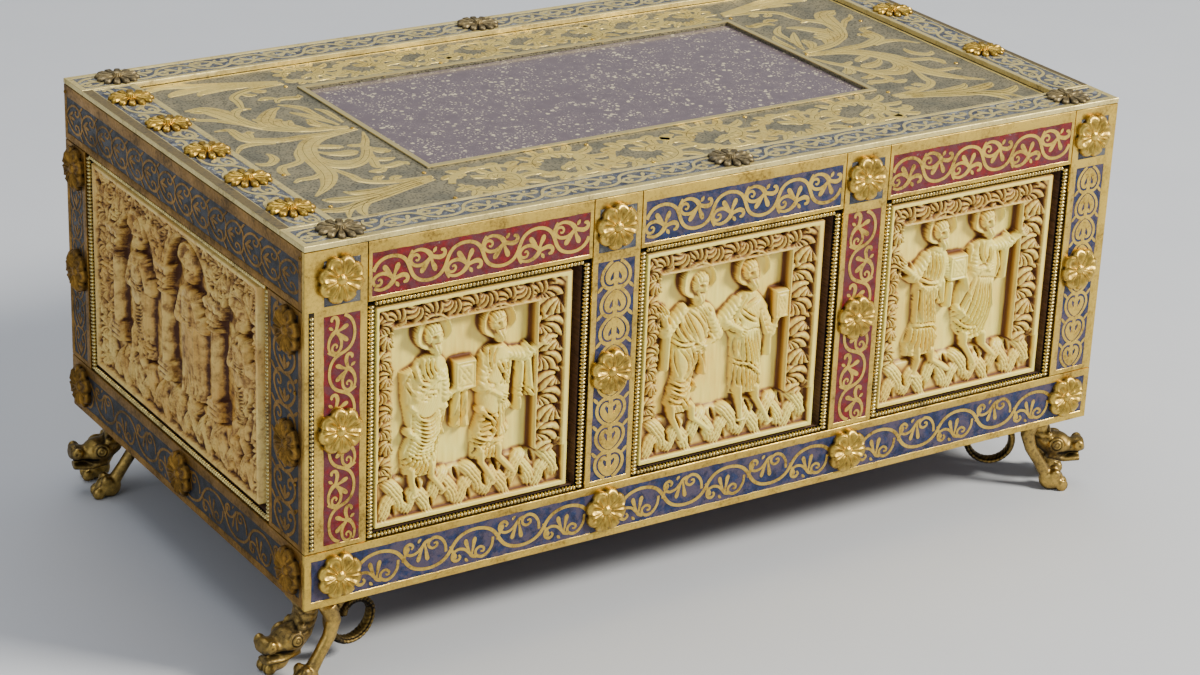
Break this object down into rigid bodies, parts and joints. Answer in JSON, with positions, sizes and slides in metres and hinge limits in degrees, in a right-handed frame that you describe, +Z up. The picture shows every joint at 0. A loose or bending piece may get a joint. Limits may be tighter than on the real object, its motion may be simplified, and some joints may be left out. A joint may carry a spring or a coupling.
{
  "type": "portable altar",
  "caption": "Box-shaped portable altar with enamelled gilt frames, carved ivory side plaques, a stone slab in its top and dragon feet.",
  "frame": {"origin": "on the floor under the middle of the box", "axes": "+X along the long front towards the right end, +Y from the front to the back, +Z up"},
  "size_m": [0.3234, 0.1741, 0.1435],
  "materials": {
    "gilt_copper": "worn gilding on copper, with darker recesses",
    "red_enamel": "red champleve enamel with gilt scrolls, worn",
    "blue_enamel": "blue champleve enamel with gilt scrolls, worn",
    "ivory": "polished old ivory with brown recesses",
    "wood": "dark aged oak",
    "porphyry": "polished purple stone with pale flecks",
    "cast_bronze": "cast, chased and gilt bronze, dark in the hollows"
  },
  "bodies": {
    "root": {"front_bottom_enamel": "blue_enamel", "front_top_enamel_1": "red_enamel", "front_top_enamel_2": "blue_enamel", "front_top_enamel_3": "red_enamel", "front_upright_1": "red_enamel", "front_upright_2": "blue_enamel", "front_upright_3": "red_enamel", "front_upright_4": "blue_enamel", "front_beads_1": "gilt_copper", "front_beads_2": "gilt_copper", "front_beads_3": "gilt_copper", "front_ivory_1": "ivory", "front_ivory_2": "ivory", "front_ivory_3": "ivory", "back_bottom_enamel": "blue_enamel", "back_top_enamel_1": "red_enamel", "back_top_enamel_2": "blue_enamel", "back_top_enamel_3": "red_enamel", "back_upright_1": "red_enamel", "back_upright_2": "blue_enamel", "back_upright_3": "red_enamel", "back_upright_4": "blue_enamel", "back_beads_1": "gilt_copper", "back_beads_2": "gilt_copper", "back_beads_3": "gilt_copper", "back_ivory_1": "ivory", "back_ivory_2": "ivory", "back_ivory_3": "ivory", "left_top_enamel": "blue_enamel", "left_bottom_enamel": "blue_enamel", "left_upright_1": "blue_enamel", "left_upright_2": "blue_enamel", "left_beads": "gilt_copper", "left_ivory": "ivory", "right_top_enamel": "blue_enamel", "right_bottom_enamel": "blue_enamel", "right_upright_1": "blue_enamel", "right_upright_2": "blue_enamel", "right_beads": "gilt_copper", "right_ivory": "ivory", "front_board": "wood", "back_board": "wood", "left_board": "wood", "right_board": "wood", "base_board": "wood", "top_board": "wood", "engraved_plate": "gilt_copper", "porphyry_slab": "porphyry", "front_border": "gilt_copper", "back_border": "gilt_copper", "left_border": "gilt_copper", "right_border": "gilt_copper", "foot_front_left": "cast_bronze", "foot_front_right": "cast_bronze", "foot_back_left": "cast_bronze", "foot_back_right": "cast_bronze"}
  },
  "joints": []
}
